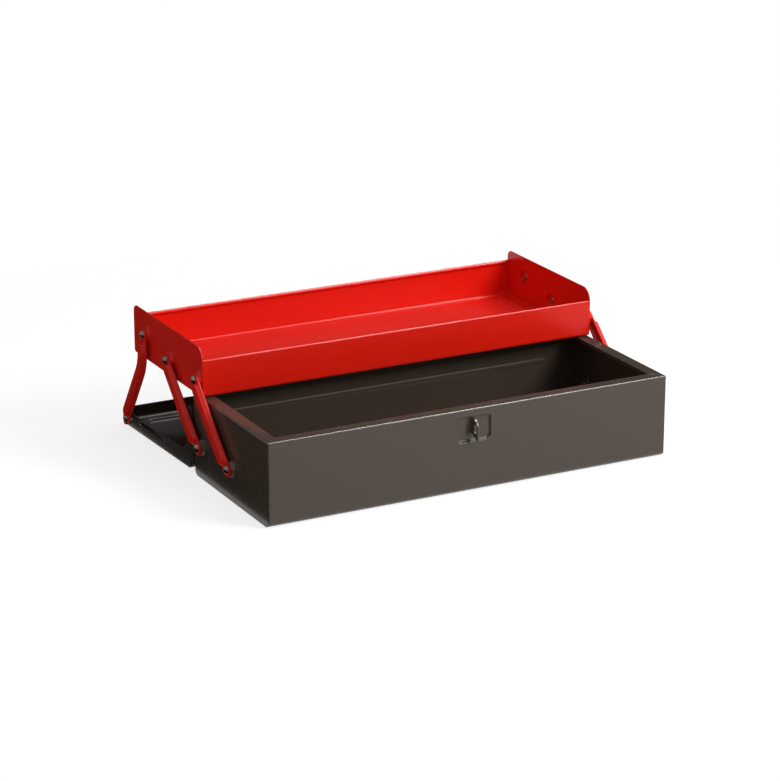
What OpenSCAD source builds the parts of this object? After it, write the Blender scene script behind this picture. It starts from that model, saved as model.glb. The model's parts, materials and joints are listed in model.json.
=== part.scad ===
// Cantilever tool box in sheet steel, shown open. The tray stands back on its arms
// and the lid lies upside down on the ground behind the case.
// X runs along the length, +Y points to the rear, +Z points up.
// The origin is the centre of the underside of the case.

/* [Case] */
// Length of the case from end to end
case_w = 412; // [340:1:480]
// Depth of the case from front to rear
case_d = 160; // [158:1:170]
// Height of the case
case_h = 80; // [76:1:90]
// Thickness of the sheet steel
sheet = 1; // [0.8:0.1:1.2]
// Outer radius of the bend between the floor and the walls
case_bend = 7; // [4:0.5:10]
// Width of the flange that turns inward around the rim
rim_w = 12.5; // [9:0.5:15]

/* [Tray] */
// Height of the tray's front and rear walls
tray_wall_h = 35.5; // [30:0.5:38]
// Height of the tray's end plates
tray_end_h = 47; // [45:0.5:50]
// Radius of the front top corner of an end plate
tray_corner = 12; // [6:1:16]

/* [Arms] */
// Distance between the two pivots of a tray arm
arm_len = 95; // [90:0.5:95.5]
// Angle of the open tray arms above the horizontal
arm_open = 43.25; // [43:0.25:46]
// Width of an arm
arm_w = 13; // [11:0.5:14]
// Thickness of an arm's strip
arm_sheet = 1.5; // [1.2:0.1:1.8]
// Height that the pressed channel stands out from an arm's flat ends
arm_raise = 3.5; // [2.5:0.5:4.5]
// Distance from the rear of the case to the foot of the rear arm
foot_back = 17; // [15:0.5:20]
// Height of the arms' feet above the ground
foot_z = 31.5; // [26:0.5:34]
// Distance from the tray's front edge to its first rivet
pivot_in = 8.8; // [8.6:0.1:10]
// Radius of the pivot rivets
rivet_r = 2.5; // [2:0.1:3]

/* [Lid] */
// Height of the lid's front wall
lid_wall_h = 14.5; // [13:0.5:15]
// Depth of the recess that the handle folds into
recess_deep = 7; // [6.5:0.5:7.5]
// Radius of the handle's rod
rod_r = 3; // [2.5:0.1:3.2]
// Number of knuckles along the lid's hinge
knuckles = 11; // [7:2:15]

/* [Hidden] */
$fn = 48;

// Colours
dark_paint = "#4b413c";
red_paint = "#c9211b";
zinc = "#b9bcbd";

// Clearances
pivot_play = 0.05;
side_gap = 0.3;
tray_gap = 0.5;
cut = 1;

// Case and tray
half_w = case_w / 2;
half_d = case_d / 2;
lap_w = 8;
lip_h = 3;
bead_drop = 25;
bead_in = 38;
bead_r = 6;
bead_out = 4.4;
tray_d = case_d - tray_gap;
tray_bend = 3;
tray_z = case_h + tray_gap;
tray_travel = 2 * arm_len * cos(arm_open);
tray_y = -half_d + tray_travel;
hem_h = 6;
roll_r = 1.9;
roll_drop = 0.2;
tray_rear_corner = 7;
relief_r = 1.6;
relief_in = [14, 10];

// Pressed bosses that carry the arm rivets
boss_r = 7.4;
boss_top_r = 7.3;
boss_h = 3.2;

// Layers along X, from the end plates outward
arm_x = half_w + boss_h + side_gap;
head_x = arm_x + arm_sheet + side_gap;
head_r = 4.2;
head_h = 2.4;
tail_r = 3.6;
tail_h = 1.5;

// Arm pivots as [y, z]; the tray pivots are those of the open tray
arm_reach = [arm_len * cos(arm_open), arm_len * sin(arm_open)];
front_foot = [arm_reach.x + pivot_in - half_d, foot_z];
rear_foot = [half_d - foot_back, foot_z];
front_top = front_foot + arm_reach;
rear_top = rear_foot + arm_reach;
lid_pivot_in = 32;
lid_pivot_drop = 20.7;
lid_arm_top = [tray_y + tray_d - lid_pivot_in, tray_z + tray_end_h - lid_pivot_drop];

// Lid, worked out closed and then laid open about its hinge
lid_head = 3;
lid_play = 1.5;
lid_low = 4.5;
ground_gap = 0.35;
lid_top = tray_z + tray_end_h + lid_head + sheet;
lid_half = half_w + lid_play + sheet;
lid_front = -half_d - 2 * sheet;
hinge_out = 3;
hinge_y = half_d + hinge_out;
hinge_z = (lid_top + lid_low) / 2;
lid_rear_gap = 0.8;
lid_rear = hinge_y - lid_rear_gap;
lid_turn = 180 + asin((lid_low - ground_gap) / (hinge_y - lid_front));
lid_corner = 10;
lid_bend = 5;
lid_rear_corner = 2.5;
wall_edge = lid_top - lid_wall_h;
gusset_r = 22;
gusset_w = 5;
notch_from = 62;
notch_to = 125;
notch_h = 6.5;
notch_r = 5;
swage_in = 14;
swage_deep = 2.5;
swage_half = 4;

// Slot in the lid's end walls, given as the rivet's distance from the hinge
slot_far = 152;
slot_near = 143.5;
slot_drop = 7.5;
slot_play = 0.3;

// Piano hinge
hinge_half = half_w - 15;
barrel_r = 2.5;
pin_r = 1.5;
leaf_gap = 0.7;
knuckle_gap = 0.2;
knuckle_w = 2 * hinge_half / knuckles;
case_leaf_h = 7;
lid_leaf_h = 15;

// Handle
recess = [150, 54];
recess_corner = 8;
bail_half = 56;
bail_leg = 30;
bail_bend = 8;
foot_bend = 5;
foot_end = 70;
bail_y = -16;
bracket_sheet = 1.2;
bracket_play = 0.4;
bracket_w = 8;
bracket_rivet_gap = 0.2;
bracket_foot = 5;
bracket_r = rod_r + bracket_play + bracket_sheet;
recess_z = lid_top - recess_deep;
bail_lift = 0.5;
bail_z = recess_z + rod_r + bail_lift;
small_rivet_r = 1.5;
small_head_r = 2.4;
small_head_h = 0.9;
small_tail_h = 0.6;

// Latch and hasp
latch = [36, 22.5];
latch_drop = 18.3;
latch_z = case_h - latch_drop;
latch_corner = 3;
latch_deep = 2;
latch_bevel = 2;
staple_sheet = 2;
staple_r = 9.3;
staple_foot = 5;
staple_back = 1.3;
staple_low = 11.8;
staple_tail_h = 10;
eye_in = 4;
eye_r = 2.2;
eye_half = 2.3;
hasp_half = 13;
hasp_sheet = 1.2;
hasp_pin_r = 1.2;
hasp_barrel_r = hasp_pin_r + hasp_sheet;
hasp_pin_y = lid_front - 2.8;
hasp_pin_z = wall_edge + 1;
hasp_knuckle = 5.2;
hasp_leaf_h = 8.5;
hasp_rivet_x = 8;
hasp_rivet_up = 5.8;
hasp_len = 76;
hasp_slot_from = 46;
hasp_slot_to = 70;
hasp_slot_half = 2.5;
hasp_corner = 7;
hasp_droop = 10;

// Where a point [y, z] of the closed lid lies when the lid is open
function opened(p) =
    let (a = -lid_turn, y = p.x - hinge_y, z = p.y - hinge_z)
    [hinge_y + y * cos(a) - z * sin(a), hinge_z + y * sin(a) + z * cos(a)];

// Lid arm: straight down, round a bend, then straight to the lid's rivet
lid_rivet = opened([hinge_y - slot_far, lid_top - slot_drop]);
knee_drop = 17;
knee_r = 40;
knee_lap = 0.2;
knee_waist = 0.998;
knee_to_rivet = lid_rivet - lid_arm_top + [-knee_r, knee_drop];
knee_turn = asin(knee_r / norm(knee_to_rivet)) + atan2(knee_to_rivet.x, -knee_to_rivet.y);
shin = sqrt(pow(norm(knee_to_rivet), 2) - pow(knee_r, 2));
nib_r = 2;
nib_out = 6.4;
channel_start = 5;
channel_w = arm_w - 0.5;
channel_top = arm_sheet + arm_raise;
channel_slope = 1.6;
channel_end = channel_start + channel_w / 2;
channel_from = 14.7;

// Draws on the right, or mirrored on the left
module on_side(side) {
    if (side > 0)
        children();
    else
        mirror([1, 0, 0])
            children();
}

// Turns an outline in [y, z] into a plate that is t thick from x onward
module plate(x, t) {
    translate([x, 0, 0])
        rotate([90, 0, 90])
            linear_extrude(t)
                children();
}

// Turns what is drawn around the Z axis to face outward at [y, z]
module at_pivot(x, p) {
    translate([x, p.x, p.y])
        rotate([90, 0, 90])
            children();
}

// Outline of a folded tub: square above, bends of radius r below
module tub(w, h, r) {
    translate([-w / 2, r])
        square([w, h - r]);
    translate([-w / 2 + r, 0])
        square([w - 2 * r, r]);
    for (s = [-1, 1])
        translate([s * (w / 2 - r), r])
            circle(r);
}

// Tub drawn one sheet further in, open upward
module tub_inside(w, h, r, t) {
    translate([0, t])
        tub(w - 2 * t, h, r - t);
}

// Rectangle with round corners, centred
module round_rect(size, r) {
    square([size.x - 2 * r, size.y], center = true);
    square([size.x, size.y - 2 * r], center = true);
    for (sx = [-1, 1], sy = [-1, 1])
        translate([sx * (size.x / 2 - r), sy * (size.y / 2 - r)])
            circle(r);
}

// Low dome of base radius r
module dome(r, h) {
    ball = (r * r + h * h) / (2 * h);
    intersection() {
        translate([0, 0, h - ball])
            sphere(r = ball);
        cylinder(r = r, h = h);
    }
}

// Boss pressed out of an end plate whose inner face is at x
module boss_solid(x, p) {
    at_pivot(x, p)
        cylinder(h = sheet + boss_h, r1 = boss_r + sheet, r2 = boss_top_r);
}

module boss_hollow(x, p) {
    at_pivot(x - cut, p)
        cylinder(h = boss_h + cut, r1 = boss_r, r2 = boss_top_r - sheet);
    at_pivot(x, p)
        cylinder(h = boss_h + sheet + cut, r = rivet_r);
}

// Plate with bosses at the given pivots
module bossed_plate(pivots) {
    difference() {
        union() {
            plate(half_w - sheet, sheet)
                children();
            for (p = pivots)
                boss_solid(half_w - sheet, p);
        }
        for (p = pivots)
            boss_hollow(half_w - sheet, p);
    }
}

// Rivet that holds an arm against a boss, headed inside the boss
module arm_rivet(p) {
    boss_inside = half_w + boss_h - sheet;
    at_pivot(boss_inside, p) {
        cylinder(r = rivet_r, h = head_x - boss_inside);
        mirror([0, 0, 1])
            dome(tail_r, tail_h);
    }
    at_pivot(head_x, p)
        dome(head_r, head_h);
}

// What a rounded edge of radius r leaves out of the corner at the origin
module corner_waste(r) {
    difference() {
        translate([-r, -r])
            square(r + cut);
        translate([-r, -r])
            circle(r);
    }
}

// Case
module rim_waste_along() {
    for (s = [0, 1])
        mirror([0, s, 0])
            plate(-half_w - cut, case_w + 2 * cut)
                translate([half_d, case_h])
                    corner_waste(sheet);
}

module rim_waste_across() {
    translate([half_w, half_d + cut, case_h])
        rotate([90, 0, 0])
            linear_extrude(case_d + 2 * cut)
                corner_waste(sheet);
}

module upright_waste() {
    for (s = [0, 1])
        mirror([0, s, 0])
            translate([half_w, half_d, -cut])
                linear_extrude(case_h + 2 * cut)
                    corner_waste(sheet);
}

module rim_lip(length) {
    linear_extrude(lip_h)
        translate([-length / 2, -sheet])
            square([length, sheet]);
}

module case_shell() {
    shell_half = half_w - sheet;
    inner_y = half_d - rim_w;
    bead_z = case_h - bead_drop;
    bead_half = half_w - bead_in;
    color(dark_paint)
        difference() {
            union() {
                plate(-shell_half, 2 * shell_half)
                    difference() {
                        tub(case_d, case_h, case_bend);
                        tub_inside(case_d, case_h, case_bend, sheet);
                    }
                for (s = [0, 1])
                    mirror([0, s, 0]) {
                        translate([0, 0, case_h - sheet])
                            linear_extrude(sheet)
                                polygon([
                                    [-shell_half, half_d], [shell_half, half_d],
                                    [shell_half, half_d - sheet],
                                    [half_w - rim_w, inner_y], [rim_w - half_w, inner_y],
                                    [-shell_half, half_d - sheet]
                                ]);
                        translate([0, inner_y + sheet, case_h - sheet - lip_h])
                            rim_lip(2 * (half_w - rim_w));
                    }
                translate([0, sheet - half_d, latch_z - latch_bevel / 2])
                    rotate([90, 0, 180])
                        linear_extrude(latch_deep)
                            round_rect(latch + [2 * sheet, 2 * sheet + latch_bevel],
                                       latch_corner + sheet);
                translate([-bead_half, half_d + bead_out, bead_z])
                    rotate([0, 90, 0])
                        cylinder(r = bead_r, h = 2 * bead_half);
            }
            latch_cavity();
            rim_waste_along();
            translate([-bead_half, half_d + bead_out, bead_z])
                rotate([0, 90, 0])
                    cylinder(r = bead_r - sheet, h = 2 * bead_half);
            translate([-half_w, half_d, bead_z - 2 * bead_r])
                cube([case_w, bead_out + bead_r + cut, 4 * bead_r]);
            staple_tail();
        }
}

// Recess behind the padlock staple, with a sloping lower edge
module latch_cavity() {
    floor_y = latch_deep - half_d;
    low_z = latch_z - latch.y / 2;
    translate([0, floor_y, latch_z])
        rotate([90, 0, 0])
            linear_extrude(latch_deep + cut)
                round_rect(latch, latch_corner);
    plate(latch_corner - latch.x / 2, latch.x - 2 * latch_corner)
        polygon([
            [floor_y, low_z + cut], [floor_y, low_z],
            [-half_d, low_z - latch_bevel],
            [-half_d - cut, low_z - latch_bevel], [-half_d - cut, low_z + cut]
        ]);
}

module case_end(side) {
    shell_half = half_w - sheet;
    inner_x = half_w - rim_w;
    inner_y = half_d - rim_w;
    color(dark_paint)
        on_side(side)
            difference() {
                union() {
                    bossed_plate([front_foot, rear_foot])
                        tub(case_d, case_h, case_bend);
                    plate(shell_half - lap_w, lap_w)
                        intersection() {
                            difference() {
                                tub_inside(case_d, case_h, case_bend, sheet);
                                tub_inside(case_d, case_h, case_bend, 2 * sheet);
                            }
                            translate([-half_d, 0])
                                square([case_d, case_h - sheet]);
                        }
                    translate([0, 0, case_h - sheet])
                        linear_extrude(sheet)
                            polygon([
                                [shell_half, half_d - sheet], [inner_x, inner_y],
                                [inner_x, -inner_y], [shell_half, sheet - half_d]
                            ]);
                    translate([inner_x + sheet, 0, case_h - sheet - lip_h])
                        rotate([0, 0, -90])
                            rim_lip(2 * inner_y);
                }
                rim_waste_along();
                rim_waste_across();
                upright_waste();
            }
}

module case_arm_rivets() {
    color(zinc)
        for (side = [-1, 1], p = [front_foot, rear_foot])
            on_side(side)
                arm_rivet(p);
}

// Tail of the padlock staple, which fills its slot in the recess
module staple_tail() {
    plate(-staple_sheet / 2, staple_sheet)
        translate([latch_deep - half_d, latch_z - staple_tail_h / 2])
            square([sheet, staple_tail_h]);
}

module padlock_staple() {
    seat_y = latch_deep - half_d;
    round_y = seat_y - staple_back;
    tip_y = round_y - staple_r;
    low_z = latch_z - staple_low;
    foot_sheet = 1.5;
    foot_h = staple_tail_h + 2;
    color(dark_paint) {
        plate(-staple_sheet / 2, staple_sheet)
            difference() {
                intersection() {
                    union() {
                        translate([round_y, latch_z])
                            circle(staple_r);
                        polygon([
                            [tip_y, latch_z], [tip_y - 0.3, low_z],
                            [tip_y + 5, latch_z - 7.5], [seat_y, latch_z - 4]
                        ]);
                    }
                    polygon([
                        [tip_y - cut, low_z - 0.2], [tip_y + eye_in, latch_z - 8.6],
                        [seat_y, latch_z - 5], [seat_y, latch_z + staple_r + cut],
                        [tip_y - cut, latch_z + staple_r + cut]
                    ]);
                }
                for (s = [-1, 1])
                    translate([tip_y + eye_in, latch_z + s * eye_half])
                        circle(eye_r);
                translate([tip_y + eye_in - eye_r, latch_z - eye_half])
                    square(2 * [eye_r, eye_half]);
            }
        staple_tail();
        translate([-staple_foot, seat_y + sheet, latch_z - foot_h / 2])
            cube([2 * staple_foot, foot_sheet, foot_h]);
    }
}

// Piano hinge
module knuckle(i, bore) {
    translate([-hinge_half + i * knuckle_w + knuckle_gap / 2, hinge_y, hinge_z])
        rotate([0, 90, 0])
            difference() {
                cylinder(r = barrel_r, h = knuckle_w - knuckle_gap);
                translate([0, 0, -cut])
                    cylinder(r = bore, h = knuckle_w + 2 * cut);
            }
}

// Tongue of the leaf that runs into knuckle i, at y, between two heights
module tongue(i, y, z_low, z_high, bore) {
    difference() {
        translate([-hinge_half + i * knuckle_w + knuckle_gap / 2, y, z_low])
            cube([knuckle_w - knuckle_gap, sheet, z_high - z_low]);
        translate([-half_w, hinge_y, hinge_z])
            rotate([0, 90, 0])
                cylinder(r = bore, h = case_w);
    }
}

module case_hinge_leaf() {
    leaf_top = hinge_z - barrel_r - leaf_gap;
    color(dark_paint) {
        translate([-hinge_half, half_d, leaf_top - case_leaf_h])
            cube([2 * hinge_half, sheet, case_leaf_h]);
        for (i = [0 : 2 : knuckles - 1]) {
            tongue(i, half_d, leaf_top - cut, hinge_z + 1.5, pin_r);
            knuckle(i, pin_r);
        }
    }
}

module hinge_pin() {
    color(zinc)
        translate([0, hinge_y, hinge_z])
            rotate([0, 90, 0]) {
                cylinder(r = pin_r, h = 2 * hinge_half + 1, center = true);
                for (s = [0, 1])
                    mirror([0, 0, s])
                        translate([0, 0, hinge_half + 0.2])
                            dome(barrel_r - 0.3, 1.2);
            }
}

// Tray
module tray_pan() {
    rear_y = tray_y + tray_d;
    wall_top = tray_z + tray_wall_h;
    color(red_paint)
        difference() {
            plate(sheet - half_w, case_w - 2 * sheet) {
                translate([tray_y + tray_d / 2, tray_z])
                    difference() {
                        tub(tray_d, tray_wall_h, tray_bend);
                        tub_inside(tray_d, tray_wall_h, tray_bend, sheet);
                    }
                translate([tray_y, wall_top - hem_h])
                    square([2 * sheet, hem_h]);
                translate([rear_y - roll_r, wall_top - roll_drop])
                    difference() {
                        circle(roll_r);
                        circle(roll_r - sheet);
                    }
            }
            plate(-half_w, case_w)
                for (s = [0, 1])
                    translate([tray_y + sheet, wall_top])
                        mirror([s, 0])
                            translate([sheet, 0])
                                corner_waste(sheet);
            for (s = [-1, 1])
                translate([s * (half_w - relief_in.x), rear_y - relief_in.y, tray_z - cut])
                    cylinder(r = relief_r, h = sheet + 2 * cut);
        }
}

module tray_end(side) {
    rear_corner = tray_rear_corner;
    low = tray_bend;
    straight = tray_end_h - low;
    color(red_paint)
        on_side(side) {
            bossed_plate([front_top, rear_top, lid_arm_top])
                translate([tray_y, tray_z]) {
                    translate([tray_d / 2, 0])
                        tub(tray_d, straight - tray_corner + low, tray_bend);
                    translate([tray_corner, low])
                        square([tray_d - tray_corner - rear_corner, straight]);
                    translate([tray_corner, tray_end_h - tray_corner])
                        circle(tray_corner);
                    translate([tray_d / 2, low])
                        square([tray_d / 2, straight - rear_corner]);
                    translate([tray_d - rear_corner, tray_end_h - rear_corner])
                        circle(rear_corner);
                }
            plate(half_w - sheet - lap_w, lap_w)
                translate([tray_y + tray_d / 2, tray_z])
                    intersection() {
                        difference() {
                            tub_inside(tray_d, tray_wall_h, tray_bend, sheet);
                            tub_inside(tray_d, tray_wall_h, tray_bend, 2 * sheet);
                        }
                        translate([-tray_d / 2, 0])
                            square([tray_d, tray_wall_h - hem_h - 1]);
                    }
        }
}

module tray_arm_rivets() {
    color(zinc)
        for (side = [-1, 1], p = [front_top, rear_top, lid_arm_top])
            on_side(side)
                arm_rivet(p);
}

// Arms. Each is drawn along +X with its face outward along +Z
module channel_profile() {
    w = channel_w / 2;
    polygon([
        [-w, 0], [-w, arm_sheet], [channel_slope - w, channel_top],
        [w - channel_slope, channel_top], [w, arm_sheet], [w, 0]
    ]);
}

// The flat strip and the channel in one outline
module strip_and_channel_profile() {
    w = channel_w / 2;
    polygon([
        [-arm_w / 2, 0], [-arm_w / 2, arm_sheet], [-w, arm_sheet],
        [channel_slope - w, channel_top], [w - channel_slope, channel_top],
        [w, arm_sheet], [arm_w / 2, arm_sheet], [arm_w / 2, 0]
    ]);
}

module channel_hollow_profile() {
    w = channel_w / 2 - arm_sheet;
    polygon([
        [-w, -cut], [-w, 0], [channel_slope - w - 0.2, channel_top - arm_sheet],
        [w - channel_slope + 0.2, channel_top - arm_sheet], [w, 0], [w, -cut]
    ]);
}

// Right half of a profile, for turning the channel's round ends
module half_profile() {
    intersection() {
        children();
        translate([0, -2 * cut])
            square([arm_w, arm_w]);
    }
}

module run(length) {
    rotate([90, 0, 90])
        linear_extrude(length)
            children();
}

// Straight channel with round ends between x = from and x = to
module straight_channel(from, to) {
    translate([from, 0, 0])
        run(to - from)
            children();
    for (x = [from, to])
        translate([x, 0, 0])
            rotate_extrude()
                half_profile()
                    children();
}

module tray_arm_shape() {
    from = channel_end;
    difference() {
        union() {
            linear_extrude(arm_sheet) {
                translate([0, -arm_w / 2])
                    square([arm_len, arm_w]);
                for (x = [0, arm_len])
                    translate([x, 0])
                        circle(arm_w / 2);
            }
            straight_channel(from, arm_len - from)
                channel_profile();
        }
        straight_channel(from, arm_len - from)
            channel_hollow_profile();
        for (x = [0, arm_len])
            translate([x, 0, -cut])
                cylinder(r = rivet_r + pivot_play, h = arm_sheet + 2 * cut);
    }
}

module tray_arm(side, foot) {
    color(red_paint)
        on_side(side)
            at_pivot(arm_x, foot)
                rotate([0, 0, arm_open])
                    tray_arm_shape();
}

// Carries its children to the start of the lid arm's lower stretch
module below_knee() {
    translate([knee_drop + knee_r * sin(knee_turn), knee_r * (1 - cos(knee_turn)), 0])
        rotate([0, 0, knee_turn])
            children();
}

// Sweeps a profile along the lid arm, from one distance along it to the rivet end.
// A very slightly narrower waist joins the bend to the straight below it
module lid_arm_sweep(from, short) {
    translate([from, 0, 0])
        run(knee_drop - from)
            children();
    translate([knee_drop, knee_r, 0])
        rotate([0, 0, -90])
            rotate_extrude(angle = knee_turn, $fn = 96)
                translate([knee_r, 0])
                    children();
    below_knee() {
        translate([-knee_lap, 0, 0])
            run(2 * knee_lap)
                scale([knee_waist, 1])
                    children();
        translate([knee_lap, 0, 0])
            run(shin - short - knee_lap)
                children();
    }
}

// Turns a profile's half around both round ends of the lid arm's channel
module lid_arm_ends() {
    translate([channel_from, 0, 0])
        rotate_extrude()
            half_profile()
                children();
    below_knee()
        translate([shin - channel_end, 0, 0])
            rotate_extrude()
                half_profile()
                    children();
}

// Tip of the lid arm, which narrows past the rivet
module lid_arm_tip() {
    lean = acos((arm_w / 2 - nib_r) / nib_out);
    circle(arm_w / 2);
    translate([nib_out, 0])
        circle(nib_r);
    polygon([
        for (s = [-1, 1], end = s < 0 ? [0, 1] : [1, 0])
            let (r = end > 0 ? nib_r : arm_w / 2)
            [end * nib_out + r * cos(lean), s * r * sin(lean)]
    ]);
}

module lid_arm_shape() {
    difference() {
        union() {
            lid_arm_sweep(channel_from, channel_end)
                strip_and_channel_profile();
            lid_arm_ends()
                channel_profile();
            linear_extrude(arm_sheet) {
                circle(arm_w / 2);
                translate([0, -arm_w / 2])
                    square([channel_from, arm_w]);
            }
            below_knee()
                linear_extrude(arm_sheet) {
                    translate([shin, 0])
                        lid_arm_tip();
                    translate([shin - channel_end, -arm_w / 2])
                        square([channel_end, arm_w]);
                }
        }
        lid_arm_sweep(channel_from, channel_end)
            channel_hollow_profile();
        lid_arm_ends()
            channel_hollow_profile();
        translate([0, 0, -cut])
            cylinder(r = rivet_r + pivot_play, h = arm_sheet + 2 * cut);
        below_knee()
            translate([shin, 0, -cut])
                cylinder(r = rivet_r, h = arm_sheet + 2 * cut);
    }
}

module lid_arm(side) {
    color(red_paint)
        on_side(side)
            at_pivot(arm_x, lid_arm_top)
                rotate([0, 0, -90])
                    lid_arm_shape();
}

// Rivet at the low end of a lid arm. Its tail stops just outside the lid
module lid_arm_rivets() {
    tail_x = lid_half + side_gap;
    color(zinc)
        for (side = [-1, 1])
            on_side(side) {
                at_pivot(tail_x, lid_rivet)
                    cylinder(r = rivet_r, h = arm_x + arm_sheet - tail_x);
                at_pivot(arm_x + arm_sheet, lid_rivet)
                    dome(head_r, head_h);
            }
}

// Lid
module laid_open() {
    translate([0, hinge_y, hinge_z])
        rotate([-lid_turn, 0, 0])
            translate([0, -hinge_y, -hinge_z])
                children();
}

// Plan of the lid, drawn t further in
module lid_plan(t) {
    y0 = lid_front + t;
    y1 = lid_rear - t;
    x = lid_half - t;
    translate([lid_corner - lid_half, y0])
        square([2 * (lid_half - lid_corner), y1 - y0]);
    translate([-x, lid_front + lid_corner])
        square([2 * x, y1 - lid_rear_corner + t - lid_front - lid_corner]);
    for (s = [-1, 1]) {
        translate([s * (lid_half - lid_corner), lid_front + lid_corner])
            circle(lid_corner - t);
        translate([s * (lid_half - lid_rear_corner), lid_rear - lid_rear_corner])
            circle(lid_rear_corner - t);
    }
    translate([lid_rear_corner - lid_half, lid_rear - lid_rear_corner])
        square([2 * (lid_half - lid_rear_corner), lid_rear_corner - t]);
}

// Section of the lid across its length in [y, z], drawn t further in
module lid_arch(t) {
    y0 = lid_front + t;
    y1 = lid_rear - t;
    z1 = lid_top - t;
    r = lid_bend - t;
    z0 = lid_low - 2 * cut;
    translate([y0, z0])
        square([y1 - y0, z1 - r - z0]);
    translate([y0 + r, z0])
        square([y1 - y0 - 2 * r, z1 - z0]);
    for (y = [y0 + r, y1 - r])
        translate([y, z1 - r])
            circle(r);
}

// Outline of the lid's end wall in [y, z]
module lid_side() {
    inner_y = hinge_y - gusset_w;
    low = hinge_z + barrel_r + leaf_gap;
    translate([lid_front - cut, wall_edge])
        square([hinge_y - lid_front + 2 * cut, lid_wall_h + cut]);
    difference() {
        translate([inner_y - gusset_r, wall_edge - gusset_r])
            square([gusset_r + gusset_w + cut, gusset_r + cut]);
        translate([inner_y - gusset_r, wall_edge - gusset_r])
            circle(gusset_r);
    }
    translate([inner_y, low])
        square([gusset_w + cut, wall_edge - low]);
}

// Shallow notch along the edge of each end wall
module lid_notch() {
    for (side = [-1, 1])
        on_side(side)
            plate(lid_half - 2 * sheet, 2 * sheet + cut)
                translate([hinge_y - (notch_from + notch_to) / 2, wall_edge])
                    round_rect([notch_to - notch_from, 2 * notch_h], notch_r);
}

// Sweeps a profile around the bead of the lid's top
module swage_loop() {
    x = lid_half - swage_in;
    y0 = lid_front + swage_in;
    y1 = lid_rear - swage_in;
    r = 10;
    for (s = [-1, 1])
        translate([s * x, y0 + r, 0])
            rotate([90, 0, 180])
                linear_extrude(y1 - y0 - 2 * r)
                    children();
    for (y = [y0, y1])
        translate([r - x, y, 0])
            rotate([90, 0, 90])
                linear_extrude(2 * (x - r))
                    children();
    for (i = [0 : 3])
        translate([i % 3 == 0 ? x - r : r - x, i < 2 ? y1 - r : y0 + r, 0])
            rotate([0, 0, 90 * i])
                rotate_extrude(angle = 90)
                    translate([r, 0])
                        children();
}

module swage_profile(half) {
    slope = 1.8;
    polygon([
        [-half, cut], [-half, 0], [slope - half, -swage_deep],
        [half - slope, -swage_deep], [half, 0], [half, cut]
    ]);
}

module lid_pan() {
    low = hinge_z + barrel_r + leaf_gap;
    color(dark_paint)
        laid_open()
            difference() {
                intersection() {
                    translate([0, 0, low])
                        linear_extrude(lid_top - low)
                            lid_plan(0);
                    plate(-lid_half - cut, 2 * (lid_half + cut))
                        intersection() {
                            lid_side();
                            lid_arch(0);
                        }
                }
                difference() {
                    intersection() {
                        translate([0, 0, low - cut])
                            linear_extrude(lid_top - low + cut)
                                lid_plan(sheet);
                        plate(-lid_half, 2 * lid_half)
                            lid_arch(sheet);
                    }
                    translate([0, 0, lid_top - sheet])
                        swage_loop()
                            swage_profile(swage_half + 0.7);
                    translate([0, 0, recess_z - sheet])
                        linear_extrude(recess_deep)
                            round_rect(recess + [2 * sheet, 2 * sheet],
                                       recess_corner + sheet);
                }
                translate([0, 0, lid_top])
                    swage_loop()
                        swage_profile(swage_half);
                translate([0, 0, recess_z])
                    linear_extrude(recess_deep + cut)
                        round_rect(recess, recess_corner);
                plate(-lid_half - cut, 2 * (lid_half + cut))
                    translate([hinge_y, lid_top - slot_drop]) {
                        for (u = [slot_near, slot_far])
                            translate([-u, 0])
                                circle(rivet_r + slot_play);
                        translate([-slot_far, -rivet_r - slot_play])
                            square([slot_far - slot_near, 2 * (rivet_r + slot_play)]);
                    }
                lid_notch();
                small_rivet_holes();
            }
}

module lid_hinge_leaf() {
    low = hinge_z + barrel_r + leaf_gap;
    bore = pin_r + pivot_play;
    color(dark_paint)
        laid_open() {
            translate([-hinge_half, lid_rear, low])
                cube([2 * hinge_half, sheet, lid_leaf_h]);
            for (i = [1 : 2 : knuckles - 2]) {
                tongue(i, lid_rear, hinge_z, low + cut, bore);
                knuckle(i, bore);
            }
        }
}

// Handle
bracket_x = (foot_end + bail_half + foot_bend) / 2;
bracket_rivets = [
    for (sx = [-1, 1], sy = [-1, 1])
        [sx * bracket_x, bail_y + sy * (bracket_r + bracket_foot / 2 + bracket_rivet_gap)]
];
hasp_rivets_at = [for (s = [-1, 1]) s * [hasp_rivet_x, 0] + [0, hasp_pin_z + hasp_rivet_up]];

module small_rivet_holes() {
    for (p = bracket_rivets)
        translate([p.x, p.y, recess_z - sheet - cut])
            cylinder(r = small_rivet_r, h = sheet + 2 * cut, $fn = 24);
    for (p = hasp_rivets_at)
        translate([p.x, lid_front + sheet + cut, p.y])
            rotate([90, 0, 0])
                cylinder(r = small_rivet_r, h = sheet + 2 * cut, $fn = 24);
}

module handle_bracket(side) {
    inner_r = rod_r + bracket_play;
    rise = bail_z - recess_z;
    color(zinc)
        laid_open()
            on_side(side)
                difference() {
                    plate(bracket_x - bracket_w / 2, bracket_w)
                        translate([bail_y, recess_z])
                            difference() {
                                union() {
                                    translate([0, rise])
                                        circle(bracket_r);
                                    translate([-bracket_r, 0])
                                        square([2 * bracket_r, rise]);
                                    translate([-bracket_r - bracket_foot, 0])
                                        square([2 * (bracket_r + bracket_foot), bracket_sheet]);
                                }
                                translate([0, rise])
                                    circle(inner_r);
                                translate([-inner_r, -bracket_r])
                                    square([2 * inner_r, rise + bracket_r]);
                            }
                    for (p = bracket_rivets)
                        translate([p.x, p.y, recess_z - cut])
                            cylinder(r = small_rivet_r, h = bracket_sheet + 2 * cut, $fn = 24);
                }
}

// Rivet drawn up the Z axis through a stack, headed above and below
module small_rivet(stack) {
    cylinder(r = small_rivet_r, h = stack, $fn = 24);
    translate([0, 0, stack])
        dome(small_head_r, small_head_h, $fn = 24);
    mirror([0, 0, 1])
        dome(small_head_r, small_tail_h, $fn = 24);
}

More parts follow.
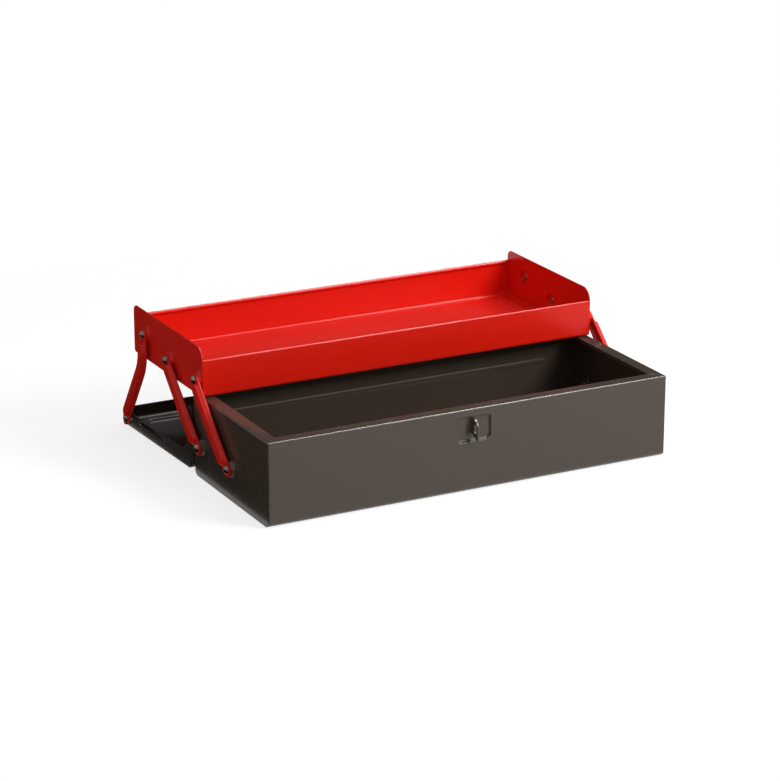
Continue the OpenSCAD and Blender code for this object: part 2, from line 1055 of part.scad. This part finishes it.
module handle_rivets() {
    color(zinc)
        laid_open()
            for (p = bracket_rivets)
                translate([p.x, p.y, recess_z - sheet])
                    small_rivet(sheet + bracket_sheet);
}

// Quarter bend of the handle's rod about the origin, from +X round to +Y
module rod_bend(r) {
    rotate_extrude(angle = 90)
        translate([r, 0])
            circle(rod_r, $fn = 32);
}

module handle_bail() {
    color(zinc)
        laid_open()
            translate([0, bail_y, bail_z]) {
                translate([0, bail_leg, 0])
                    rotate([0, 90, 0])
                        cylinder(r = rod_r, h = 2 * (bail_half - bail_bend), center = true,
                                 $fn = 32);
                for (side = [-1, 1])
                    on_side(side) {
                        translate([bail_half - bail_bend, bail_leg - bail_bend, 0])
                            rod_bend(bail_bend);
                        translate([bail_half, foot_bend, 0])
                            rotate([-90, 0, 0])
                                cylinder(r = rod_r, h = bail_leg - bail_bend - foot_bend,
                                         $fn = 32);
                        translate([bail_half + foot_bend, foot_bend, 0])
                            rotate([0, 0, 180])
                                rod_bend(foot_bend);
                        translate([bail_half + foot_bend, 0, 0])
                            rotate([0, 90, 0])
                                cylinder(r = rod_r, h = foot_end - bail_half - foot_bend + 2,
                                         $fn = 32);
                    }
            }
}

// Hasp
module hasp_knuckle_ring(from, to) {
    translate([from, hasp_pin_y, hasp_pin_z])
        rotate([0, 90, 0])
            cylinder(r = hasp_barrel_r, h = to - from);
}

module hasp_leaf() {
    clear_z = hasp_pin_z + hasp_barrel_r + side_gap + 0.2;
    from = hasp_knuckle + side_gap;
    color(zinc)
        laid_open()
            difference() {
                union() {
                    translate([-hasp_half, lid_front - hasp_sheet, clear_z])
                        cube([2 * hasp_half, hasp_sheet, hasp_leaf_h - clear_z + hasp_pin_z]);
                    for (side = [-1, 1])
                        on_side(side) {
                            translate([from, lid_front - hasp_sheet, hasp_pin_z])
                                cube([hasp_half - from, hasp_sheet, clear_z - hasp_pin_z]);
                            hasp_knuckle_ring(from, hasp_half);
                        }
                }
                translate([-2 * hasp_half, hasp_pin_y, hasp_pin_z])
                    rotate([0, 90, 0])
                        cylinder(r = hasp_pin_r, h = 4 * hasp_half);
                for (p = hasp_rivets_at)
                    translate([p.x, lid_front + cut, p.y])
                        rotate([90, 0, 0])
                            cylinder(r = small_rivet_r, h = hasp_sheet + 2 * cut, $fn = 24);
            }
}

module hasp_rivets() {
    color(zinc)
        laid_open()
            for (p = hasp_rivets_at)
                translate([p.x, lid_front + sheet, p.y])
                    rotate([90, 0, 0])
                        small_rivet(sheet + hasp_sheet);
}

module hasp_pin() {
    color(zinc)
        laid_open()
            translate([0, hasp_pin_y, hasp_pin_z])
                rotate([0, 90, 0]) {
                    cylinder(r = hasp_pin_r, h = 2 * hasp_half + 0.6, center = true);
                    for (s = [0, 1])
                        mirror([0, 0, s])
                            translate([0, 0, hasp_half])
                                dome(hasp_barrel_r - 0.4, 1);
                }
}

// Strap hanging down from the pin at the origin, its inner face toward +Y
module hasp_strap_shape() {
    shoulder = hasp_barrel_r + side_gap + 0.3;
    difference() {
        union() {
            translate([-hasp_knuckle, 0, 0])
                rotate([0, 90, 0])
                    cylinder(r = hasp_barrel_r, h = 2 * hasp_knuckle);
            translate([0, hasp_pin_r + hasp_sheet, 0])
                rotate([90, 0, 0])
                    linear_extrude(hasp_sheet)
                        difference() {
                            union() {
                                translate([-hasp_knuckle, -shoulder - cut])
                                    square([2 * hasp_knuckle, shoulder + cut]);
                                translate([0, -(hasp_len + shoulder) / 2])
                                    round_rect([2 * hasp_half, hasp_len - shoulder],
                                               hasp_corner);
                                translate([-hasp_half, -shoulder - 3 * hasp_corner])
                                    square([2 * hasp_half, 3 * hasp_corner]);
                            }
                            for (z = [hasp_slot_from, hasp_slot_to])
                                translate([0, -z])
                                    circle(hasp_slot_half);
                            translate([-hasp_slot_half, -hasp_slot_to])
                                square([2 * hasp_slot_half, hasp_slot_to - hasp_slot_from]);
                        }
        }
        translate([-hasp_half, 0, 0])
            rotate([0, 90, 0])
                cylinder(r = hasp_pin_r + pivot_play, h = 2 * hasp_half);
    }
}

module hasp_strap() {
    pin_at = opened([hasp_pin_y, hasp_pin_z]);
    color(zinc)
        translate([0, pin_at.x, pin_at.y])
            rotate([90 - hasp_droop, 0, 0])
                hasp_strap_shape();
}

case_shell();
case_end(-1);  // case_end_left
case_end(1);  // case_end_right
case_hinge_leaf();
hinge_pin();
padlock_staple();
case_arm_rivets();
tray_arm(-1, front_foot);  // front_arm_left
tray_arm(1, front_foot);  // front_arm_right
tray_arm(-1, rear_foot);  // rear_arm_left
tray_arm(1, rear_foot);  // rear_arm_right
tray_pan();
tray_end(-1);  // tray_end_left
tray_end(1);  // tray_end_right
tray_arm_rivets();
lid_arm(-1);  // lid_arm_left
lid_arm(1);  // lid_arm_right
lid_arm_rivets();
lid_pan();
lid_hinge_leaf();
handle_bracket(-1);  // handle_bracket_left
handle_bracket(1);  // handle_bracket_right
handle_rivets();
handle_bail();
hasp_leaf();
hasp_rivets();
hasp_pin();
hasp_strap();
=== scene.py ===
# %% [markdown]
# # A cantilever tool box, laid open
# A folded steel case, a red tray that swings up and back on flat arms, and a lid that
# lies upside down behind the case. The construction is ready and is loaded as it is:
# every plate, arm and rivet keeps its place. This lesson gives each one its finish, with
# the faint marks that spraying and handling leave, and lights the box.

# %% Load the construction
import json
import math

import bpy
from mathutils import Matrix, Vector

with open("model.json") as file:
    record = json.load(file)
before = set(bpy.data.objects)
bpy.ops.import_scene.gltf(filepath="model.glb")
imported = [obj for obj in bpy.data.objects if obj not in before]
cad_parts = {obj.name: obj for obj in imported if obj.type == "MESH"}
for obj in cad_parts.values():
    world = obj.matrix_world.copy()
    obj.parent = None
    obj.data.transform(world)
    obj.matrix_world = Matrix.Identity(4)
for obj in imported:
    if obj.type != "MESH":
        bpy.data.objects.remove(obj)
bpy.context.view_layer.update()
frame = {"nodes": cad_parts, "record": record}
nodes = frame["nodes"]

# %% [markdown]
# ## The camera
# The picture was taken from the left and a little above with a long lens, so parallel
# edges stay nearly parallel. A short lens close by would show the same faces, but the
# near end of the case would swell. The camera therefore stands 2.7 m away.

# %% Camera
# The picture's longer side and the lens, both in pixels, and the sensor in millimetres
FRAME_PIXELS = 781
LENS_PIXELS = 2898
SENSOR = 36
LOOK_AT = Vector((-0.03866, 0.00983, 0.07648))
CAMERA_AZIMUTH = math.radians(-27.634)
CAMERA_RISE = math.radians(18.590)
CAMERA_FAR = 2.6788
CAMERA_ROLL = math.radians(0.069)


def outward(azimuth, rise):
    """Direction from the box towards a point seen at that azimuth and height."""
    return Vector((math.sin(azimuth) * math.cos(rise),
                   -math.cos(azimuth) * math.cos(rise), math.sin(rise)))


camera_data = bpy.data.cameras.new("camera")
camera_data.sensor_width = SENSOR
camera_data.lens = LENS_PIXELS * SENSOR / FRAME_PIXELS
camera = bpy.data.objects.new("camera", camera_data)
bpy.context.scene.collection.objects.link(camera)
back = outward(CAMERA_AZIMUTH, CAMERA_RISE)
camera.location = LOOK_AT + CAMERA_FAR * back
turn = (-back).to_track_quat("-Z", "Y").to_matrix() @ Matrix.Rotation(CAMERA_ROLL, 3, "Z")
camera.rotation_mode = "QUATERNION"
camera.rotation_quaternion = turn.to_quaternion()
bpy.context.scene.camera = camera
print("lens", round(camera_data.lens, 1), "mm at", [round(v, 3) for v in camera.location])

# %% [markdown]
# ## Nodes for a finish
# A finish is a small network: where a point is on the piece, a pattern of noise there,
# and the shader. Each finish below needs the same few links, so they are made by short
# helpers. Patterns are laid out in the piece's own coordinates, in metres, so they stay
# on the piece when it moves.

# %% Helpers for node networks
# The mix node's sockets for colours, by number, because its sockets for plain numbers
# have the same names
MIX_FIRST = 6
MIX_SECOND = 7
MIX_RESULT = 2


class Finish:
    """A material whose nodes are added one by one."""

    def __init__(self, name):
        self.material = bpy.data.materials.new(name)
        self.material.use_nodes = True
        self.tree = self.material.node_tree
        self.shader = self.tree.nodes["Principled BSDF"]
        self.place = self.add("ShaderNodeTexCoord").outputs["Object"]

    def feed(self, socket, value):
        """Links another node's output to a socket, or sets the socket's own value."""
        if hasattr(value, "links"):
            self.tree.links.new(value, socket)
        else:
            socket.default_value = value

    def add(self, kind, inputs=None, **settings):
        node = self.tree.nodes.new(kind)
        for key, value in settings.items():
            setattr(node, key, value)
        for key, value in (inputs or {}).items():
            self.feed(node.inputs[key], value)
        return node

    def noise(self, per_metre, detail=2.0, rough=0.5, stretch=None):
        place = self.place
        if stretch:
            place = self.add("ShaderNodeMapping", {"Vector": place, "Scale": stretch}).outputs[0]
        return self.add("ShaderNodeTexNoise", {
            "Vector": place, "Scale": per_metre, "Detail": detail, "Roughness": rough,
        }).outputs["Fac"]

    def spread(self, value, low, high, to_low=0.0, to_high=1.0):
        return self.add("ShaderNodeMapRange", {
            "Value": value, "From Min": low, "From Max": high,
            "To Min": to_low, "To Max": to_high,
        }, interpolation_type="SMOOTHSTEP").outputs["Result"]

    def pattern(self, low, high, to_low=0.0, to_high=1.0, **noise):
        """Noise that begins to show at its low level and shows in full at its high one."""
        return self.spread(self.noise(**noise), low, high, to_low, to_high)

    def math(self, operation, a, b):
        return self.add("ShaderNodeMath", {0: a, 1: b}, operation=operation).outputs[0]

    def faint(self, value, share):
        """A pattern at a share of its strength."""
        return self.math("MULTIPLY", value, share)

    def blend(self, share, a, b):
        inputs = {"Factor": share, MIX_FIRST: a, MIX_SECOND: b}
        return self.add("ShaderNodeMix", inputs, data_type="RGBA").outputs[MIX_RESULT]

    def set(self, **values):
        for key, value in values.items():
            self.feed(self.shader.inputs[key.replace("_", " ")], value)


print("helpers ready")

# %% [markdown]
# ## Finding the edges
# Paint wears and catches the light on folded edges. A mask could be painted by hand for
# each plate. The bevel node finds the edges by itself: it gives the normal as if every
# edge were rounded, and where that differs from the true normal, there is an edge. The
# same rounded normal also gives each fold its thin line of light.

# %% Edges of a piece
# How far the normal on a flat and on an edge agrees with the rounded one
FLAT_LEVEL = 0.98
EDGE_LEVEL = 0.80
EDGE_SAMPLES = 6


def edges_of(finish, width):
    """Share from 0 on a flat to 1 on an edge, and the normal rounded over the edge."""
    rounded = finish.add("ShaderNodeBevel", {"Radius": width}, samples=EDGE_SAMPLES).outputs[0]
    flat = finish.add("ShaderNodeNewGeometry").outputs["Normal"]
    level = finish.add("ShaderNodeVectorMath", {0: rounded, 1: flat}, operation="DOT_PRODUCT")
    return finish.spread(level.outputs["Value"], FLAT_LEVEL, EDGE_LEVEL), rounded


print("edges are found with", EDGE_SAMPLES, "samples")

# %% [markdown]
# ## Enamel
# Sprayed enamel isn't perfectly flat: it dries to a faint orange peel over a sheet with
# shallow dents, it is rubbed paler here and there on the folded edges, and handling leaves
# soft smudges and a few fine scratches. One recipe serves all the paints, with their own
# colours and gloss. A picture of paint could be wrapped on instead, but it would blur close
# up and need its own layout on each plate.

# %% Enamel recipe
# The rounding over an edge stays narrower than the sheet is thick, because a wider one
# speckled the paint
ENAMEL_EDGE = 0.0009
# Each pattern has its features per metre, how fine and rough its noise is, and the levels
# of noise between which it shows
CLOUD = dict(per_metre=9, detail=3, low=0.35, high=0.70)
GRAIN = dict(per_metre=1400, detail=1, low=0.30, high=0.75)
RUB = dict(per_metre=160, detail=4, rough=0.65, low=0.52, high=0.66)
SCRATCH = dict(per_metre=42, detail=6, rough=0.7, low=0.60, high=0.66, stretch=(14, 1.2, 1.2))
SCRATCHED_PATCH = dict(per_metre=14, detail=2, low=0.54, high=0.68)
FINGER = dict(per_metre=34, detail=2, rough=0.5, low=0.38, high=0.66)
ORANGE_PEEL = dict(per_metre=520, detail=2, rough=0.55)
DENTS = dict(per_metre=16, detail=1)
# What each pattern changes in the colour
CLOUD_TONE = 0.30
GRAIN_TONE = 0.03
RUB_TONE = 0.35
SCRATCH_TONE = 0.035
# What it changes in the roughness
FINGER_ROUGH = 0.03
RUB_ROUGH = 0.12
# The peel beside the dents, the strength of both, and their depth in metres
PEEL_SHARE = 0.05
RELIEF = 0.12
RELIEF_DEPTH = 0.0006


def enamel(name, colour, pale, smudge, gloss, shine):
    f = Finish(name)
    edge, rounded = edges_of(f, ENAMEL_EDGE)
    cloud = f.pattern(**CLOUD)
    grain = f.pattern(**GRAIN)
    tone = f.blend(f.faint(cloud, CLOUD_TONE), colour, smudge)
    tone = f.blend(f.faint(grain, GRAIN_TONE), tone, pale)
    worn = f.math("MULTIPLY", edge, f.pattern(**RUB))
    tone = f.blend(f.faint(worn, RUB_TONE), tone, pale)
    scratch = f.math("MULTIPLY", f.pattern(**SCRATCH), f.pattern(**SCRATCHED_PATCH))
    tone = f.blend(f.faint(scratch, SCRATCH_TONE), tone, pale)
    finger = f.pattern(**FINGER, to_low=gloss, to_high=gloss + FINGER_ROUGH)
    rough = f.math("ADD", finger, f.faint(worn, RUB_ROUGH))
    relief = f.math("ADD", f.faint(f.noise(**ORANGE_PEEL), PEEL_SHARE), f.noise(**DENTS))
    bump = f.add("ShaderNodeBump", {
        "Height": relief, "Normal": rounded, "Strength": RELIEF, "Distance": RELIEF_DEPTH,
    }).outputs[0]
    f.set(Base_Color=tone, Roughness=rough, Specular_IOR_Level=shine, Normal=bump)
    return f.material


DARK = (0.061, 0.044, 0.031, 1)
DARK_PALE = (0.19, 0.165, 0.145, 1)
DARK_SMUDGE = (0.053, 0.038, 0.026, 1)
# The lid's colours are the case's paint made darker: painted shade, because its inside lies face up
# under the tray
LID_PAINTED_SHADE = (0.040, 0.030, 0.022, 1)
LID_SMUDGE_PAINTED_SHADE = (0.034, 0.025, 0.018, 1)
RED = (0.80, 0.0125, 0.0045, 1)
RED_PALE = (0.86, 0.12, 0.08, 1)
RED_SMUDGE = (0.72, 0.0100, 0.0035, 1)
dark_enamel = enamel("dark_enamel", DARK, DARK_PALE, DARK_SMUDGE, gloss=0.22, shine=0.44)
# The lid's enamel is duller, and darker by painted shade
lid_enamel_painted_shade = enamel("lid_enamel_painted_shade", LID_PAINTED_SHADE, DARK_PALE, LID_SMUDGE_PAINTED_SHADE, gloss=0.36, shine=0.32)
red_enamel = enamel("red_enamel", RED, RED_PALE, RED_SMUDGE, gloss=0.23, shine=0.24)
print("enamels", dark_enamel.name, lid_enamel_painted_shade.name, red_enamel.name)

# %% [markdown]
# ## Zinc plate
# Rivets, pins, the handle and the hasp are steel with a zinc coat. Under a lens zinc shows
# a faint cloud of crystals, fine lines along the way it was drawn, and a duller skin in
# patches. Metal takes its colour from what it mirrors, tinted by its base colour. The
# handle and the hasp have a pale base. The rivets look dark because they mirror dark
# surroundings, so theirs is much darker: that dark base is a painted dark reflection.

# %% Zinc recipe
ZINC_EDGE = 0.0003
CRYSTALS_PER_METRE = 420.0
CRYSTAL_TONE = 0.14
CRYSTAL_GREY = (0.42, 0.43, 0.44, 1)
DULL_PATCH = dict(per_metre=90, detail=3, low=0.45, high=0.75)
DULL_TONE = 0.35
DULL_GREY = (0.30, 0.28, 0.25, 1)
BRIGHT_TONE = 0.3
BRIGHT_EDGE = (0.85, 0.86, 0.87, 1)
DRAWN_LINES = dict(per_metre=300, detail=3, rough=0.6)
# The roughness follows the drawn lines and the crystals, in these shares
LINES_ROUGH = 0.6
CRYSTAL_ROUGH = 0.4
ROUGH_LEVELS = (0.2, 0.8)
LINES_RELIEF = 0.18
LINES_DEPTH = 0.0002


def zinc_plate(name, tint, smooth, dull, stretch):
    f = Finish(name)
    edge, rounded = edges_of(f, ZINC_EDGE)
    cells = f.add("ShaderNodeTexVoronoi", {"Vector": f.place, "Scale": CRYSTALS_PER_METRE})
    crystal = f.add("ShaderNodeSeparateColor", {0: cells.outputs["Color"]}).outputs[0]
    tone = f.blend(f.faint(crystal, CRYSTAL_TONE), tint, CRYSTAL_GREY)
    tone = f.blend(f.faint(f.pattern(**DULL_PATCH), DULL_TONE), tone, DULL_GREY)
    tone = f.blend(f.faint(edge, BRIGHT_TONE), tone, BRIGHT_EDGE)
    lines = f.noise(**DRAWN_LINES, stretch=stretch)
    mixed = f.math("ADD", f.faint(lines, LINES_ROUGH), f.faint(crystal, CRYSTAL_ROUGH))
    rough = f.spread(mixed, *ROUGH_LEVELS, smooth, dull)
    bump = f.add("ShaderNodeBump", {
        "Height": lines, "Normal": rounded, "Strength": LINES_RELIEF, "Distance": LINES_DEPTH,
    }).outputs[0]
    f.set(Base_Color=tone, Roughness=rough, Metallic=1.0, Normal=bump)
    return f.material


# The rivets' dark base colour is a painted dark reflection; their zinc is as pale as the rest
RIVET_TINT_PAINTED_DARK_REFLECTION = (0.12, 0.108, 0.085, 1)
PRESSED_TINT = (0.46, 0.465, 0.47, 1)
WIRE_TINT = (0.50, 0.505, 0.51, 1)
rivet_zinc_painted_dark_reflection = zinc_plate("rivet_zinc_painted_dark_reflection", RIVET_TINT_PAINTED_DARK_REFLECTION, smooth=0.24, dull=0.40, stretch=(1, 1, 1))
pressed_zinc = zinc_plate("pressed_zinc", PRESSED_TINT, smooth=0.32, dull=0.48, stretch=(0.2, 3, 3))
wire_zinc = zinc_plate("wire_zinc", WIRE_TINT, smooth=0.22, dull=0.38, stretch=(0.08, 4, 4))
print("zinc finishes", rivet_zinc_painted_dark_reflection.name, pressed_zinc.name, wire_zinc.name)

# %% [markdown]
# ## Which piece has which finish
# The case and the padlock staple are sprayed with one dark paint, and the tray and all its
# arms are red. The lid is painted like the case, but its inside, which lies face up here
# under the tray, looks darker and duller, so it has an enamel of its own: rougher, and
# darker by painted shade. Rivets and the small fittings are put on last and stay bare. The
# record says which paint a piece has, and the few pieces that differ from it are listed here.

# %% Put the finishes on
FINISH = {"dark_paint": dark_enamel, "red_paint": red_enamel, "zinc": rivet_zinc_painted_dark_reflection}
SPECIAL = {
    "lid_pan": lid_enamel_painted_shade, "lid_hinge_leaf": lid_enamel_painted_shade,
    "handle_bail": wire_zinc, "hinge_pin": wire_zinc, "hasp_pin": wire_zinc,
    "handle_bracket_left": pressed_zinc, "handle_bracket_right": pressed_zinc,
    "hasp_leaf": pressed_zinc, "hasp_strap": pressed_zinc,
}
slot_of = {p["node"]: p["material_slot"] for p in frame["record"]["subparts"]}
for name, piece in nodes.items():
    piece.data.materials.clear()
    piece.data.materials.append(SPECIAL.get(name, FINISH[slot_of[name]]))
print("painted", len(nodes), "nodes")

# %% [markdown]
# ## The floor
# The box stands on one big pale sheet under a white background. Away from the box the
# sheet fades into the white, so that no horizon shows from any side. Near the box it is a
# grey that takes shadows, under an even glow, so a soft shadow is left. Only the camera,
# mirrors and glass see it so: for all other light it is a plain pale sheet.

# %% Floor
FLOOR_REACH = 30.0
# A little under the box, so that the two never share a face
FLOOR_LEVEL = -0.0002
# The corners of a sheet in turn, each at the low or the high end of both its sides
CORNERS = ((0, 0), (1, 0), (1, 1), (0, 1))


def flat_sheet(name, corners):
    """One face through four corners, as an object of its own."""
    mesh = bpy.data.meshes.new(name)
    mesh.from_pydata(corners, [], [(0, 1, 2, 3)])
    sheet = bpy.data.objects.new(name, mesh)
    bpy.context.scene.collection.objects.link(sheet)
    return sheet


floor_side = (-FLOOR_REACH, FLOOR_REACH)
floor = flat_sheet("floor", [(floor_side[i], floor_side[j], FLOOR_LEVEL) for i, j in CORNERS])
print("floor lies", FLOOR_LEVEL, "m from the box's underside")

# %% Floor finish
WHITE = (1, 1, 1, 1)
PALE_GREY = (0.80, 0.80, 0.80, 1)
SHADOW_GREY = (0.36, 0.36, 0.36, 1)
GLOW = 0.78
FIBRE = dict(per_metre=60, detail=4, low=0.3, high=0.7, to_low=0.99, to_high=1.0)
# Distances from the middle between which the floor fades into the white
FADE_FROM = 0.35
FADE_TO = 0.95


def where_seen(tree):
    """1 for rays that see the background: from the camera, a mirror or glass."""
    rays = tree.nodes.new("ShaderNodeLightPath")
    share = rays.outputs["Is Camera Ray"]
    for ray in ("Is Glossy Ray", "Is Transmission Ray"):
        larger = tree.nodes.new("ShaderNodeMath")
        larger.operation = "MAXIMUM"
        tree.links.new(share, larger.inputs[0])
        tree.links.new(rays.outputs[ray], larger.inputs[1])
        share = larger.outputs[0]
    return share


paper = Finish("floor_paper")
paper.set(Base_Color=PALE_GREY, Roughness=0.9, Specular_IOR_Level=0.1)
shaded = paper.add("ShaderNodeBsdfDiffuse", {"Color": SHADOW_GREY})
glow_strength = paper.faint(paper.pattern(**FIBRE), GLOW)
glow = paper.add("ShaderNodeEmission", {"Color": WHITE, "Strength": glow_strength})
near = paper.add("ShaderNodeAddShader", {0: shaded.outputs[0], 1: glow.outputs[0]})
white = paper.add("ShaderNodeEmission", {"Color": WHITE, "Strength": 1.0})
reach = paper.add("ShaderNodeVectorMath", {0: paper.place}, operation="LENGTH").outputs["Value"]
away = paper.spread(reach, FADE_FROM, FADE_TO)
shown = paper.add("ShaderNodeMixShader", {0: away, 1: near.outputs[0], 2: white.outputs[0]})
surface = paper.add("ShaderNodeMixShader", {
    0: where_seen(paper.tree), 1: paper.shader.outputs[0], 2: shown.outputs[0]})
paper.tree.links.new(surface.outputs[0], paper.tree.nodes["Material Output"].inputs[0])
floor.data.materials.append(paper.material)
print("floor fades to white between", FADE_FROM, "and", FADE_TO, "m")

# %% [markdown]
# ## White background
# A white world would light the box from all sides and wash its colours out. So the world
# plays two parts: it is white where the camera, mirrors and glass see it, and a dim and
# slightly cool light for everything else, which leaves the lighting to the lamps.

# %% White background
ROOM_TINT = (0.95, 0.97, 1.0, 1)
ROOM_LIGHT = 0.30
world = bpy.data.worlds.new("studio")
bpy.context.scene.world = world
world.use_nodes = True
sky = world.node_tree
sky.nodes.clear()
pale = sky.nodes.new("ShaderNodeBackground")
pale.inputs["Color"].default_value = WHITE
dim = sky.nodes.new("ShaderNodeBackground")
dim.inputs["Color"].default_value = ROOM_TINT
dim.inputs["Strength"].default_value = ROOM_LIGHT
pick = sky.nodes.new("ShaderNodeMixShader")
sky.links.new(where_seen(sky), pick.inputs[0])
sky.links.new(dim.outputs[0], pick.inputs[1])
sky.links.new(pale.outputs[0], pick.inputs[2])
sky_out = sky.nodes.new("ShaderNodeOutputWorld")
sky.links.new(pick.outputs[0], sky_out.inputs[0])
bpy.context.scene.view_settings.view_transform = "Standard"
print("white background with room light", ROOM_LIGHT)

# %% [markdown]
# ## Lights
# Three soft boxes, as in a product studio. A wide one overhead lights the tray, and one in
# front on the right lights the front and leaves the left end dark. The third is a strip
# that only glossy surfaces answer to, and only straight from the lamp: it draws the thin
# bright lines along folded edges and the sparkle on the rivets. Bare bulbs would throw
# hard shadows.

# %% Soft boxes


def soft_box(name, at, aim, size, power):
    data = bpy.data.lights.new(name, "AREA")
    data.shape = "RECTANGLE"
    data.size, data.size_y = size
    data.energy = power
    lamp = bpy.data.objects.new(name, data)
    bpy.context.scene.collection.objects.link(lamp)
    lamp.location = at
    lamp.visible_camera = False
    lamp.rotation_mode = "QUATERNION"
    lamp.rotation_quaternion = (Vector(aim) - Vector(at)).to_track_quat("-Z", "Y")
    return lamp


soft_box("overhead", at=(0.35, -0.15, 1.45), aim=(0, 0.08, 0.05), size=(1.2, 0.7), power=4.5)
soft_box("front_right", at=(0.80, -0.98, 1.02), aim=(0, 0, 0.05), size=(0.65, 0.65), power=18.0)
edge_strip = soft_box(
    "edge_strip", at=(0.70, 0.45, 1.42), aim=(0, 0, 0.08), size=(1.4, 0.4), power=55.0)
edge_strip.visible_diffuse = False
edge_strip.data.cycles.max_bounces = 0
print("lights ready")

# %% [markdown]
# ## Dark flags
# Enamel mirrors the room. Photographers put black cards beside a glossy object, so that
# its sides mirror black and keep their colour. One lies on the floor at the left of the
# case, and one stands behind the box. Only mirroring rays see them: they take no light
# away and don't show themselves.

# %% Flags
LEFT_X = (-0.90, -0.212)
LEFT_Y = (-0.35, 1.10)
LEFT_LEVEL = 0.0006
BEHIND_X = (-0.50, 1.60)
BEHIND_Y = 0.80
BEHIND_Z = (0.02, 1.30)
BLIND_RAYS = ("camera", "diffuse", "transmission", "volume_scatter", "shadow")
black_card = Finish("black_card")
black_card.set(Base_Color=(0.01, 0.01, 0.01, 1), Roughness=1.0, Specular_IOR_Level=0.0)


def flag(name, corners):
    card = flat_sheet(name, corners)
    card.data.materials.append(black_card.material)
    for ray in BLIND_RAYS:
        setattr(card, "visible_" + ray, False)


flag("flag_left", [(LEFT_X[i], LEFT_Y[j], LEFT_LEVEL) for i, j in CORNERS])
flag("flag_behind", [(BEHIND_X[i], BEHIND_Y, BEHIND_Z[j]) for i, j in CORNERS])
print("flag_left lies and flag_behind stands")
